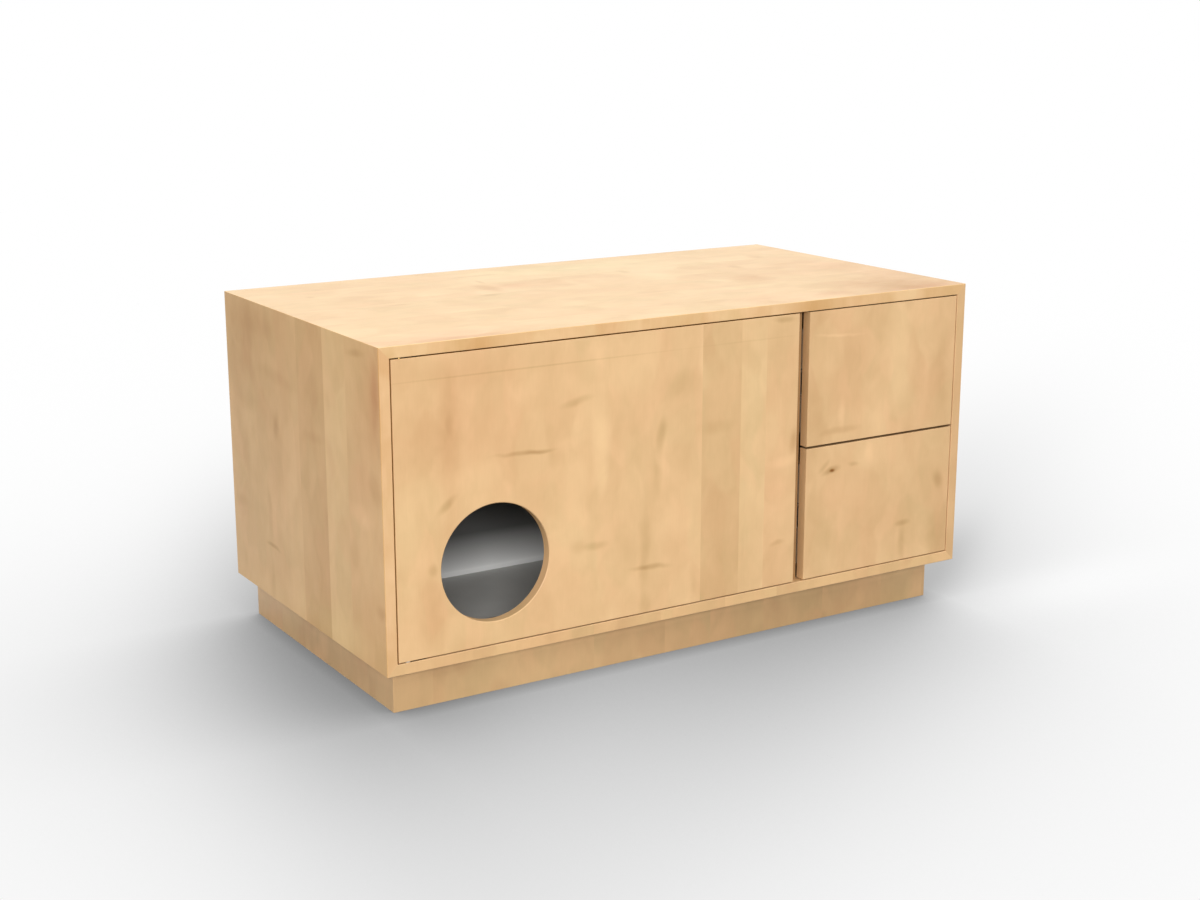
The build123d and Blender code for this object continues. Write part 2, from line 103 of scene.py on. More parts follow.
# Figure of the maple: each layer's scales across, into and along the grain, its detail and its roughness
maple_wander = ((16.0, 16.0, 9.0), 2.0, 0.5)
straight_layers = {
    "cloud": ((12.0, 12.0, 8.0), 2.0, 0.5),
    "drift": ((6.5, 6.5, 3.6), 1.0, 0.5),
    "streak": ((62.0, 62.0, 2.6), 2.0, 0.55),
    "fibre": ((900.0, 900.0, 24.0), 2.0, 0.6),
    "fleck": ((260.0, 260.0, 34.0), 1.0, 0.5),
}
bent_layers = {
    "mottle": ((32.0, 32.0, 22.0), 2.0, 0.5),
    "blush": ((22.0, 22.0, 13.0), 2.0, 0.5),
}
quilt_scales, quilt_softness = (21.0, 21.0, 12.0), 0.35
tone_weights = {
    "cloud": 0.16, "mottle": 0.14, "quilt_tone": 0.08, "streak": 0.03, "fibre": 0.05, "fleck": 0.02,
}
warmth_weights = {"drift": 0.45, "blush": 0.3, "quilt_warmth": 0.22}
layer_bend = (0.05, 0.05, 0.05)
patch_bend = (0.024, 0.016, 0.0)
patch_fade_end = 1.35
out_of_reach = 10.0

# Where each board is cut from the figure, and how far apart its staves are cut
figure_shifts = {
    "door": 0.0, "drawer": 2.4, "left": 4.1, "right": 6.2, "divider": 7.5, "top": 8.7, "bottom": 11.3,
    "back": 13.9, "plinth": 16.4, "plinth_side": 18.8,
}
stave_shift = 7.3
stave_reach = 700.0

# Staves that chance lays out: seed, first and last place, usual width, spread of tone and warmth, tone
chance_staves = {
    "side": (5, -323.0, 323.0, 95.0, 0.05),
    "top": (8, -323.0, 323.0, 110.0, 0.012),
    "bottom": (9, -323.0, 323.0, 110.0, 0.012, -0.035),
    "back": (11, -600.0, 600.0, 120.0, 0.05),
    # The darker tone of the plinth and of its sides is painted shade under the overhang
    "plinth": (14, -600.0, 600.0, 130.0, 0.012, -0.20),
    "plinth_side": (17, -323.0, 323.0, 130.0, 0.012, -0.237),
}
stave_width_low, stave_width_high = 0.7, 1.3
drawer_staves = ((stave_reach, -0.03, 0.0),)

# Painted shade on board edges: a tone all over (the door's slightly lighter) that can deepen between two
# depths behind the front, more where they face up, and more inside a narrow gap, tinted browner there
face_share = 0.6
shade_depth_share = (0.4, 1.6)
painted_gap_tint = (1.0, 1.35, 1.75)
bore_middle, bore_reach = (-0.4, 0.0, 0.24), 0.12
door_edge_shading = {"tone": 0.02, "upper_painted_shade": -0.22, "gap_painted_shade": -0.36}
drawer_edge_shading = {"tone": -0.12, "upper_painted_shade": -0.40, "depth": (-323.0, -304.0)}
divider_edge_shading = {"tone": -0.28, "gap_painted_shade": -0.15}
left_edge_shading = {"tone": -0.03}
right_edge_shading = {"tone": -0.12}

# Staves of the door and of the left side: where each one ends across the grain, its tone and its warmth
door_staves = (
    (2, 0.0, 0.0),
    (83, -0.105, -0.06),
    (140, 0.00, -0.14),
    (212, -0.02, 0.05),
)
left_staves = (
    (-197, 0.0, 0.12),
    (-114, 0.04, -0.05),
    (-2, -0.13, 0.02),
    (323, -0.035, 0.0),
)

# Patches in the figure: across and along the grain, half width and length, turn in degrees, tone, warmth
door_patches = (
    (-345, 416, 62, 5, 0, -0.18, 0.02),
    (-318, 415, 26, 4, 0, -0.14, 0.0),
    (-486, 350, 24, 9, -36, -0.19, 0.05),
    (-500, 480, 120, 130, 0, -0.08, 0.15),
    (-482, 470, 24, 130, 0, -0.09, 0.14),
    (-482, 480, 8, 26, 0, -0.09, 0.0),
    (-380, 480, 70, 130, 0, -0.02, 0.16),
    (-400, 565, 130, 45, 0, -0.08, 0.05),
    (-246, 490, 34, 8, -12, -0.15, -0.02),
    (-285, 400, 22, 22, 0, -0.07, 0.06),
    (-203, 400, 20, 90, 0, 0.09, -0.2),
    (-250, 350, 30, 60, 0, 0.05, -0.12),
    (-195, 345, 12, 30, 0, 0.07, -0.1),
    (-130, 380, 40, 50, 0, -0.03, -0.08),
    (-40, 497, 46, 30, -12, -0.09, -0.06),
    (-76, 412, 10, 36, 6, -0.17, -0.04),
    (-84, 350, 12, 50, 0, -0.1, -0.04),
    (-210, 238, 30, 9, 0, -0.16, 0.0),
    (-245, 240, 18, 14, 0, -0.07, 0.1),
    (-240, 265, 70, 80, 0, 0.05, -0.15),
    (-108, 205, 12, 90, 3, -0.12, 0.0),
    (-98, 181, 42, 6, 5, -0.2, 0.02),
    (-108, 115, 14, 26, 0, -0.1, 0.0),
    (-40, 290, 50, 80, 0, 0.05, -0.02),
    (-290, 230, 30, 120, 0, 0.03, -0.08),
    (-515, 170, 34, 90, 0, -0.08, 0.06),
    (-516, 245, 10, 14, 0, -0.14, 0.06),
    (-560, 300, 24, 80, 0, 0.05, -0.1),
    (-420, 390, 60, 24, 0, 0.04, 0.0),
    (178, 588, 24, 7, 0, -0.17, 0.0),
    (204, 367, 10, 28, 12, -0.17, 0.08),
    (176, 500, 34, 90, 0, -0.06, 0.02),
    (180, 330, 30, 14, 0, 0.09, 0.06),
    (172, 262, 34, 60, 0, 0.02, 0.14),
    (172, 180, 16, 6, 0, -0.13, 0.1),
    (40, 490, 44, 70, 0, 0.03, 0.0),
    (40, 412, 46, 14, 0, -0.06, 0.0),
    (112, 420, 24, 150, 0, 0.04, -0.06),
    (-60, 200, 130, 100, 0, 0.03, -0.06),
    (-495, 290, 36, 60, 0, -0.06, 0.12),
)
door_seams = (
    (-330, 556, 330, 1.9, 0, -0.11, 0.0),
    (110, 556, 120, 1.9, 0, -0.05, 0.0),
)
# Plinth: the long band along its top is painted light that offsets the shade under the overhang; the others
# make the left end lighter, the right end darker and a small patch near the top left darker
plinth_tone_and_painted_light_patches = (
    (0, 58, 1500, 8, 0, 0.06, 0.0),
    (-340, 30, 240, 200, 0, 0.07, -0.05),
    (320, 30, 360, 200, 0, -0.09, 0.0),
    (-470, 58, 60, 14, 0, -0.08, 0.12),
)
# The long band is painted light that offsets the shade under the overhang
plinth_side_painted_light_band = (
    (0, 50, 1500, 16, 0, 0.07, 0.0),
)
drawer_patches = (
    (293, 299, 22, 8, -10, -0.26, 0.0),
    (296, 298, 7, 4, 0, -0.45, 0.0),
    (276, 309, 18, 6, -40, -0.12, 0.0),
    (346, 308, 16, 5, 6, -0.13, 0.0),
    (552, 246, 14, 22, -16, -0.18, -0.05),
    (468, 172, 22, 7, 0, -0.16, 0.02),
    (468, 130, 10, 46, 0, -0.12, 0.0),
    (562, 140, 34, 70, 0, -0.15, -0.02),
    (500, 200, 50, 80, 0, -0.02, -0.12),
    (380, 325, 12, 24, 0, 0.09, 0.04),
    (300, 250, 50, 40, 0, 0.03, 0.08),
    (350, 150, 60, 60, 0, 0.06, 0.0),
    (330, 470, 60, 110, 0, -0.04, 0.12),
    (448, 490, 34, 130, 0, 0.08, -0.2),
    (312, 402, 9, 34, 0, 0.08, 0.05),
    (310, 371, 50, 8, -4, -0.12, 0.1),
    (302, 547, 58, 4, 2, 0.09, -0.05),
    (545, 470, 34, 120, 0, -0.07, -0.02),
    (400, 400, 30, 60, 0, 0.03, -0.06),
    (430, 210, 200, 120, 0, -0.04, 0.04),
    (548, 340, 45, 330, 0, -0.05, 0.0),
    (252, 330, 40, 330, 0, -0.06, 0.0),
    (255, 560, 45, 60, 0, -0.09, 0.04),
)
left_figure_and_painted_light_patches = (
    (138, 180, 34, 5, -4, -0.22, 0.0),
    (148, 240, 12, 60, 6, -0.11, 0.0),
    (146, 110, 14, 50, 0, -0.08, 0.0),
    (103, 405, 14, 28, -10, -0.12, 0.0),
    (225, 430, 50, 22, 0, -0.08, 0.0),
    (250, 330, 26, 50, 0, -0.07, 0.0),
    (282, 232, 36, 14, 8, -0.08, -0.06),
    (90, 495, 90, 16, -4, -0.07, 0.02),
    (180, 580, 150, 30, 0, -0.06, 0.06),
    (200, 520, 120, 20, 4, 0.03, 0.06),
    (90, 240, 70, 70, 0, 0.06, 0.02),
    (60, 300, 30, 90, 0, 0.02, 0.04),
    (90, 420, 110, 300, 0, -0.07, 0.0),
    (-240, 592, 38, 8, 6, -0.15, 0.04),
    (-255, 440, 46, 120, 0, -0.03, 0.18),
    (-245, 330, 52, 24, 0, 0.11, 0.1),
    (-210, 255, 24, 40, 0, -0.1, -0.02),
    (-297, 385, 24, 32, 24, -0.14, 0.12),
    (-308, 530, 18, 70, 0, -0.1, 0.16),
    (-308, 185, 20, 16, -12, -0.14, 0.1),
    (-57, 510, 54, 70, 0, -0.03, 0.0),
    (-60, 420, 54, 12, 3, -0.06, 0.04),
    (240, 530, 140, 120, 0, -0.17, 0.0),
    (-298, 520, 40, 110, 0, -0.09, 0.25),
    (285, 230, 60, 260, 0, -0.06, 0.0),
    # These two, lighter and less warm toward the bottom, are painted light of the floor's bounce
    (-150, 110, 220, 50, 0, 0.08, -0.20),
    (0, 95, 600, 40, 0, 0.05, 0.0),
    (210, 250, 130, 240, 0, -0.03, 0.0),
    (-100, 200, 60, 70, 0, 0.03, 0.0),
    (-312, 560, 22, 50, 0, -0.10, 0.20),
    (20, 300, 60, 400, 0, 0.04, 0.0),
)
top_patches = (
    (-318, -440, 24, 170, 0, -0.12, 0.25),
    (-312, 480, 30, 150, 0, -0.12, 0.25),
    (-250, 500, 150, 190, 0, -0.16, 0.20),
    (-280, 230, 60, 140, 0, -0.04, 0.25),
    (-60, 560, 160, 90, 0, -0.05, 0.30),
    (-290, -500, 50, 160, 0, -0.02, 0.40),
    (240, 60, 80, 240, 0, 0.02, -0.40),
    (190, 200, 110, 160, 0, 0.03, -0.25),
    (-20, 420, 120, 180, 0, -0.05, 0.15),
    (100, -178, 52, 24, 0, -0.16, 0.1),
    (105, -125, 34, 44, 0, -0.07, 0.35),
    (172, -157, 26, 7, 0, -0.12, 0.1),
    (24, -215, 10, 26, 0, -0.11, 0.05),
    (18, -400, 9, 30, 0, -0.11, 0.08),
    (170, -495, 14, 10, 0, -0.09, 0.1),
    (128, -430, 26, 40, 0, -0.04, 0.1),
    (143, 142, 22, 13, 0, -0.12, 0.06),
    (112, 285, 30, 40, 0, -0.05, 0.05),
    (-57, 305, 60, 60, 0, -0.07, 0.24),
    (73, 363, 26, 14, 0, -0.11, 0.05),
    (180, 480, 28, 20, 0, -0.11, 0.1),
    (75, -10, 60, 16, 0, 0.05, -0.1),
    (-137, 222, 22, 120, 0, 0.06, -0.24),
    (63, 160, 60, 60, 0, 0.06, -0.24),
    (-130, -120, 30, 60, 0, 0.04, -0.1),
    (-110, -340, 24, 60, 0, 0.04, -0.08),
    (-250, -160, 60, 120, 0, -0.02, 0.14),
    (-250, 180, 60, 60, 0, -0.02, 0.1),
    (-280, 330, 40, 40, 0, -0.08, 0.12),
    (-270, 520, 70, 110, 0, -0.1, 0.16),
    (110, -430, 60, 60, 0, -0.03, 0.06),
)
top_edge_patches = (
    (-440, 605, 60, 60, 0, -0.14, 0.15),
    (-350, 605, 50, 60, 0, -0.05, 0.0),
    (245, 605, 70, 60, 0, -0.15, 0.15),
    (60, 605, 50, 60, 0, 0.05, -0.2),
    (450, 605, 50, 60, 0, 0.06, -0.2),
)

# Most of a noise lies between these two values
noise_span = (0.3, 0.7)

# Birch plywood of the drawer boxes: faces, their fibres, layers, glue lines and pores
birch_warm, birch_pale, birch_fibre = (0.72, 0.54, 0.345), (0.80, 0.63, 0.43), (0.62, 0.44, 0.27)
ply_pale, ply_dark, ply_pore = (0.74, 0.56, 0.36), (0.42, 0.26, 0.14), (0.52, 0.35, 0.20)
ply_layer = 1.35 * millimetre
ply_glue_start, ply_glue_end = 0.55 * millimetre, 0.8 * millimetre
birch_streaks = ((9.0, 3.0, 60.0), 3.0, 0.55)
birch_fibres = ((500.0, 18.0, 500.0), 2.0, 0.6)
birch_fibre_span = (0.35, 0.75, 0.0, 0.25)
ply_pores = ((40.0, 40.0, 40.0), 2.0, 0.5)
ply_pore_weight = 0.3
birch_relief = 0.05 * millimetre
birch_roughness = (0.40, 0.50)

# Raw beech of the splines, dowels and blocks
beech_dark, beech_light, beech_ray = (0.60, 0.37, 0.21), (0.70, 0.47, 0.29), (0.40, 0.22, 0.11)
beech_clouds = ((14.0, 14.0, 14.0), 2.0, 0.5)
beech_rays = ((420.0, 420.0, 110.0), 1.0, 0.5)
beech_ray_span = (0.58, 0.68, 0.0, 0.6)
beech_relief = 0.08 * millimetre
beech_roughness = (0.55, 0.68)

# Metals: dark and light tone, scales of the drawing lines, lowest and highest roughness
metals = {
    "screw_steel": ((0.46, 0.46, 0.47), (0.62, 0.62, 0.63), (900.0, 900.0, 900.0), 0.26, 0.4),
    "runner_zinc": ((0.50, 0.51, 0.53), (0.66, 0.67, 0.69), (900.0, 12.0, 900.0), 0.28, 0.42),
    "pivot_brass": ((0.66, 0.47, 0.20), (0.80, 0.62, 0.32), (40.0, 900.0, 900.0), 0.24, 0.38),
}
metal_line_detail = (2.0, 0.6)
metal_clouds = ((60.0, 60.0, 60.0), 3.0, 0.55)
metal_line_weight, metal_cloud_weight = 0.6, 0.4
metal_tone_span = (0.32, 0.68)
metal_relief = 0.02 * millimetre

# Plastics and rubber: dark and light tone, roughness, and size and relief of the grain in millimetres
plastics = {
    "tray_plastic": ((0.90, 0.90, 0.885), (0.95, 0.95, 0.935), 0.5, 0.8, 0.03),
    "washer_nylon": ((0.74, 0.74, 0.70), (0.82, 0.82, 0.78), 0.45, 0.6, 0.02),
    "catch_plastic": ((0.66, 0.64, 0.60), (0.74, 0.72, 0.68), 0.5, 0.5, 0.03),
    "catch_ferrite": ((0.05, 0.05, 0.055), (0.10, 0.10, 0.11), 0.55, 0.4, 0.03),
    "mat_rubber": ((0.57, 0.57, 0.545), (0.62, 0.62, 0.593), 0.72, 1.2, 0.08),
}
plastic_grit_detail = (1.0, 0.5)
plastic_clouds = ((18.0, 18.0, 18.0), 3.0, 0.55)
plastic_grit_weight, plastic_cloud_weight = 0.4, 0.6
plastic_roughness_drift = 0.06
# Painted shade on the tray's upper wall, dark above the light that comes in through the entrance
tray_painted_shade_colour = (0.115, 0.115, 0.111)

# Litter tray, in millimetres: its rim's outline, the low entry at the front, and where painted shade darkens
# its colour up the wall, the same dark colour also covering its front lip
tray_left, tray_right = -540.0, 0.0
tray_front, tray_back = -299.0, 36.0
tray_foot_z, tray_lip_z, tray_rim_z = 99.0, 135.0, 249.0
tray_slope_start, tray_slope_end = -259.0, -148.25
tray_corner = 40.0
tray_draft = 8.0
tray_wall = 2.5
tray_bead_radius = 2.2
tray_bead_drop = 1.7
tray_corner_steps = 8
tray_bead_corners = 12
tray_shade_low, tray_shade_high = 112.0, 179.0
tray_shade_curve = 0.68
tray_lip_band_start, tray_lip_band_end = -275.0, -284.0

# Screws: the sizes of each kind in millimetres, and which nodes they take the place of on which body
screw_sizes = (
    "Crown Radius", "Foot Radius", "Head Height", "Shank Radius",
    "Drive Span", "Drive Width", "Drive Depth",
)
screw_kinds = {
    "sunk": (3.5, 1.7, 2.0, 1.7, 3.8, 0.8, 1.2),
    "pan": (3.3, 3.8, 2.0, 1.9, 4.2, 0.9, 1.2),
    "wide": (4.4, 5.0, 3.0, 2.5, 5.6, 1.2, 1.8),
}
screw_sets = (
    ("back_and_fitting_screws", "carcass", "sunk", ("back_panel_screws", "carcass_fitting_screws")),
    ("cabinet_slide_screws", "carcass", "pan", ("cabinet_runner_screws",)),
    ("plinth_block_screws", "carcass", "wide", ("plinth_screws",)),
    ("door_plate_screws", "door", "sunk", ("door_fitting_screws",)),
    ("upper_box_screws", "upper_drawer", "pan",
     ("upper_drawer_front_screws", "upper_drawer_runner_screws")),
    ("lower_box_screws", "lower_drawer", "pan",
     ("lower_drawer_front_screws", "lower_drawer_runner_screws")),
)
screw_seed = 3
screw_head_corners, screw_shank_corners = 24, 12
screw_neck_share = 0.85
screw_weld = 0.001 * millimetre


class Nodes:
    """A node tree being built, with short calls that add nodes and join them."""

    def __init__(self, tree):
        self.tree = tree

    def join(self, socket, value):
        if isinstance(value, bpy.types.NodeSocket):
            self.tree.links.new(value, socket)
        elif value is not None:
            socket.default_value = value

    def node(self, kind, *values, **settings):
        made = self.tree.nodes.new(kind)
        for name, value in settings.items():
            setattr(made, name, value)
        for socket, value in zip(made.inputs, values):
            self.join(socket, value)
        return made

    def fill(self, kind, values, **settings):
        made = self.node(kind, **settings)
        for name, value in values.items():
            self.join(made.inputs[name], value)
        return made.outputs[0]

    def math(self, operation, *values):
        return self.node("ShaderNodeMath", *values, operation=operation).outputs[0]

    def vector(self, operation, *values):
        made = self.node("ShaderNodeVectorMath", *values, operation=operation)
        return made.outputs["Value" if operation == "LENGTH" else "Vector"]

    def split(self, vector):
        return self.node("ShaderNodeSeparateXYZ", vector).outputs

    def combine(self, x, y, z):
        return self.node("ShaderNodeCombineXYZ", x, y, z).outputs[0]

    def span(self, value, low, high, to_low, to_high, ease="LINEAR"):
        limits = low, high, to_low, to_high
        return self.node("ShaderNodeMapRange", value, *limits, interpolation_type=ease).outputs[0]


class Finish(Nodes):
    """One material being built."""

    def __init__(self, name):
        self.material = bpy.data.materials.new(name)
        self.material.use_nodes = True
        super().__init__(self.material.node_tree)
        self.shader = self.tree.nodes["Principled BSDF"]
        self.coordinates = self.node("ShaderNodeTexCoord").outputs
        self.place = self.coordinates["Object"]

    def noise(self, vector, scales, detail=2.0, roughness=0.5, output=0):
        made = self.node("ShaderNodeTexNoise", self.vector("MULTIPLY", vector, scales))
        for name, value in (("Scale", 1.0), ("Detail", detail), ("Roughness", roughness)):
            self.join(made.inputs[name], value)
        return made.outputs[output]

    def quilt(self, vector, scales):
        """Two chance numbers for each cell of a soft-edged patchwork."""
        made = self.node("ShaderNodeTexVoronoi", feature="SMOOTH_F1")
        self.join(made.inputs["Vector"], self.vector("MULTIPLY", vector, scales))
        for name, value in (("Scale", 1.0), ("Smoothness", quilt_softness)):
            self.join(made.inputs[name], value)
        return self.node("ShaderNodeSeparateColor", made.outputs["Color"]).outputs[:2]

    def mix(self, share, first, second):
        made = self.node("ShaderNodeMix", share, data_type="RGBA")
        for socket, colour in zip(made.inputs[6:8], (first, second)):
            self.join(socket, (*colour, 1.0) if isinstance(colour, tuple) else colour)
        return made.outputs[2]

    def choose(self, share, first, second):
        made = self.node("ShaderNodeMix", share, data_type="VECTOR")
        for socket, vector in zip(made.inputs[4:6], (first, second)):
            self.join(socket, vector)
        return made.outputs[1]

    def bump(self, height, depth):
        made = self.node("ShaderNodeBump")
        for name, value in (("Strength", 1.0), ("Distance", depth), ("Height", height)):
            self.join(made.inputs[name], value)
        self.join(self.shader.inputs["Normal"], made.outputs[0])

    def finish(self, **sockets):
        for name, value in sockets.items():
            self.join(self.shader.inputs[name.replace("_", " ")], value)
        return self.material


def new_group(name, kind, inputs, outputs):
    """A node group with named sockets, and what comes in and goes out of it."""
    tree = bpy.data.node_groups.new(name, kind)
    for way, sockets in (("INPUT", inputs), ("OUTPUT", outputs)):
        for socket, form in sockets:
            tree.interface.new_socket(socket, in_out=way, socket_type="NodeSocket" + form)
    made = Nodes(tree)
    return made, made.node("NodeGroupInput").outputs, made.node("NodeGroupOutput").inputs


def patch_group():
    """A soft patch of the figure, which adds its tone and warmth to what comes in."""
    places = [(name, "Vector") for name in ("Place", "Centre", "Size")]
    amounts = [(name, "Float") for name in ("Turn", "Patch Tone", "Patch Warmth", "Tone", "Warmth")]
    made, given, result = new_group("figure_patch", "ShaderNodeTree", places + amounts, amounts[-2:])
    away = made.vector("SUBTRACT", given["Place"], given["Centre"])
    turned = made.fill(
        "ShaderNodeVectorRotate", {"Vector": away, "Angle": given["Turn"]}, rotation_type="Z_AXIS")
    reach = made.vector("LENGTH", made.vector("DIVIDE", turned, given["Size"]))
    fade = made.span(reach, 0.0, patch_fade_end, 1.0, 0.0, "SMOOTHERSTEP")
    for name in ("Tone", "Warmth"):
        made.join(result[name], made.math("MULTIPLY_ADD", fade, given["Patch " + name], given[name]))
    return made.tree


figure_patch = patch_group()


def add_patches(finish, place, patches, tone, warmth, level=0.0):
    """Runs the tone and warmth of the figure through each of its patches."""
    for across, along, half_width, half_length, turn, patch_tone, patch_warmth in patches:
        made = finish.node("ShaderNodeGroup", node_tree=figure_patch)
        values = {
            "Place": place,
            "Centre": (across * millimetre, along * millimetre, level),
            "Size": (half_width * millimetre, half_length * millimetre, 1.0),
            "Turn": math.radians(turn),
            "Patch Tone": patch_tone,
            "Patch Warmth": patch_warmth,
            "Tone": tone,
            "Warmth": warmth,
        }
        for name, value in values.items():
            finish.join(made.inputs[name], value)
        tone, warmth = made.outputs
    return tone, warmth


def even_staves(seed, low, high, width, spread, tone=0.0):
    """Staves of uneven width with small chance differences in tone."""
    draw = random.Random(seed)
    ends = []
    at = low
    while at < high:
        at += draw.uniform(stave_width_low, stave_width_high) * width
        stave_tone = tone + draw.uniform(-spread, spread)
        ends.append((min(at, high), stave_tone, draw.uniform(-spread, spread)))
    return tuple(ends)


def stave_ramp(finish, across, staves):
    """The tone, the warmth and a chance number of the stave at a place across the grain."""
    made = finish.node("ShaderNodeValToRGB")
    ramp = made.color_ramp
    ramp.interpolation = "CONSTANT"
    draw = random.Random(len(staves))
    low, high = -stave_reach, stave_reach
    starts = [low] + [end for end, _, _ in staves[:-1]]
    while len(ramp.elements) < len(staves):
        ramp.elements.new(1.0)
    for element, start, (_, tone, warmth) in zip(ramp.elements, starts, staves):
        element.position = (start - low) / (high - low)
        element.color = (0.5 + tone, 0.5 + warmth, draw.random(), 1.0)
    finish.join(made.inputs[0], finish.span(across, low * millimetre, high * millimetre, 0.0, 1.0))
    parts = finish.node("ShaderNodeSeparateColor", made.outputs[0]).outputs
    return finish.math("SUBTRACT", parts[0], 0.5), finish.math("SUBTRACT", parts[1], 0.5), parts[2]


def board_sides(finish):
    """Where a point lies and which way its face looks, by axis."""
    places = dict(zip("xyz", finish.split(finish.place)))
    facing = dict(zip("xyz", finish.split(finish.coordinates["Normal"])))
    return places, facing


def looks_along(finish, facing, axis):
    """1 on faces that look along an axis, either way, and 0 on others."""
    return finish.math("GREATER_THAN", finish.math("ABSOLUTE", facing[axis]), face_share)


def edge_shade(finish, places, facing, on_edge, into, tone=0.0, upper_painted_shade=0.0, depth=None, gap_painted_shade=0.0):
    """Painted shade that a board's edges are multiplied by: darker all over, deeper in, facing up or inside
    a gap.
    """
    toned = on_edge
    if depth:
        outer, inner = (place * millimetre for place in depth)
        toned = finish.math("MULTIPLY", on_edge, finish.span(places[into], outer, inner, *shade_depth_share))
    level = finish.math("MULTIPLY_ADD", toned, tone, 1.0)
    if upper_painted_shade:
        upward = finish.math("MULTIPLY", on_edge, finish.math("MAXIMUM", facing["z"], 0.0))
        level = finish.math("MULTIPLY_ADD", upward, upper_painted_shade, level)
    shade = finish.combine(level, level, level)
    # painted shade inside a narrow gap, kept off the door's bore and tinted browner
    if gap_painted_shade:
        upright_place = finish.combine(places["x"], 0.0, places["z"])
        from_bore = finish.vector("LENGTH", finish.vector("SUBTRACT", upright_place, bore_middle))
        at_gap = finish.math("GREATER_THAN", from_bore, bore_reach)
        deep = finish.math("MULTIPLY", finish.math("MULTIPLY", at_gap, on_edge), gap_painted_shade)
        shade = finish.vector("MULTIPLY_ADD", finish.combine(deep, deep, deep), painted_gap_tint, shade)
    return shade


def figure_layers(finish, figure):
    """The layers of the maple's figure, and how far it wanders off the straight."""
    wander = finish.vector("SUBTRACT", finish.noise(figure, *maple_wander, "Color"), (0.5, 0.5, 0.5))
    bent = finish.vector("MULTIPLY_ADD", wander, layer_bend, figure)
    layers = {}
    for place, settings in ((figure, straight_layers), (bent, bent_layers)):
        for layer, setting in settings.items():
            layers[layer] = finish.noise(place, *setting)
    layers["quilt_tone"], layers["quilt_warmth"] = finish.quilt(bent, quilt_scales)
    return layers, wander


def add_layers(finish, value, layers, weights):
    """Adds weighted layers, each about its middle, to a value."""
    for layer, weight in weights.items():
        value = finish.math("MULTIPLY_ADD", finish.math("SUBTRACT", layers[layer], 0.5), weight, value)
    return value


def maple(name, axes, staves, figure_shift, patches=(), seams=(), edge_patches=(), edge_axes=None,
          edges=None, painted_light_colour=None, tone_spread=maple_tone_spread, rising_gloss=None,
          edge_gloss=maple_edge_gloss):
    """Satin maple, with painted shade on its edges and a face colour that paints in the light on that face,
    if given. Axes run across, into and along the grain, and a front edge can have its own.
    """
    finish = Finish(name)
    places, facing = board_sides(finish)
    grain = finish.combine(*(places[axis] for axis in axes))
    if edge_axes:
        front_grain = finish.combine(*(places[axis] for axis in edge_axes))
        grain = finish.choose(looks_along(finish, facing, "y"), grain, front_grain)
    across, _, along = finish.split(grain)
    on_face = looks_along(finish, facing, axes[1])
    on_edge = finish.math("SUBTRACT", 1.0, on_face)
    tone, warmth, chance = stave_ramp(finish, across, staves)
    shift = finish.math("MULTIPLY_ADD", chance, stave_shift, figure_shift)
    figure = finish.vector("ADD", grain, finish.combine(shift, shift, shift))
    layers, wander = figure_layers(finish, figure)

    straight = finish.combine(across, along, finish.math("MULTIPLY", on_edge, out_of_reach))
    place = finish.vector("MULTIPLY_ADD", wander, patch_bend, straight)
    tone, warmth = add_patches(finish, place, patches, tone, warmth)
    tone, warmth = add_patches(finish, place, edge_patches, tone, warmth, out_of_reach)
    tone, warmth = add_patches(finish, straight, seams, tone, warmth)
    tone = add_layers(finish, tone, layers, tone_weights)
    warmth = add_layers(finish, warmth, layers, warmth_weights)

    # the left side's face takes a colour with painted shade, the top's one with painted light
    base = finish.choose(on_face, maple_colour, painted_light_colour) if painted_light_colour else maple_colour
    share = finish.vector("MULTIPLY_ADD", finish.combine(tone, tone, tone), tone_spread, (1.0, 1.0, 1.0))
    share = finish.vector("MULTIPLY_ADD", finish.combine(warmth, warmth, warmth), maple_warm_spread, share)
    # painted shade on the board's edges
    shade = edge_shade(finish, places, facing, on_edge, axes[1], **(edges or {}))
    shown = finish.vector("MULTIPLY", finish.vector("MULTIPLY", share, base), shade)
    rough = maple_roughness + maple_roughness_drift, maple_roughness - maple_roughness_drift
    sheen = finish.span(layers["fibre"], *noise_span, *rough)
    finish.bump(layers["fibre"], maple_relief)
    face_gloss = maple_gloss
    if rising_gloss:
        face_gloss = finish.span(places["z"], cad_low[2], cad_high[2], *rising_gloss)
    gloss = finish.span(on_face, 0.0, 1.0, edge_gloss, face_gloss)
    return finish.finish(Base_Color=shown, Roughness=sheen, Specular_IOR_Level=gloss)


def birch_ply(name, thickness_axis):
    """Lacquered birch plywood: a pale face, and layers that show on its edges."""
    finish = Finish(name)
    places, facing = board_sides(finish)
    streak = finish.noise(finish.place, *birch_streaks)
    fibre = finish.noise(finish.place, *birch_fibres)
    pore = finish.noise(finish.place, *ply_pores)
    layer = finish.math("PINGPONG", places[thickness_axis], ply_layer)
    layer = finish.span(layer, ply_glue_start, ply_glue_end, 0.0, 1.0)
    on_edge = finish.math("LESS_THAN", finish.math("ABSOLUTE", facing[thickness_axis]), face_share)
    face = finish.mix(finish.span(streak, *noise_span, 0.0, 1.0), birch_warm, birch_pale)
    face = finish.mix(finish.span(fibre, *birch_fibre_span), face, birch_fibre)
    ends = finish.mix(layer, ply_pale, ply_dark)
    ends = finish.mix(finish.span(pore, *noise_span, 0.0, ply_pore_weight), ends, ply_pore)
    finish.bump(fibre, birch_relief)
    rough = finish.span(streak, *noise_span, *birch_roughness)
    return finish.finish(Base_Color=finish.mix(on_edge, face, ends), Roughness=rough)


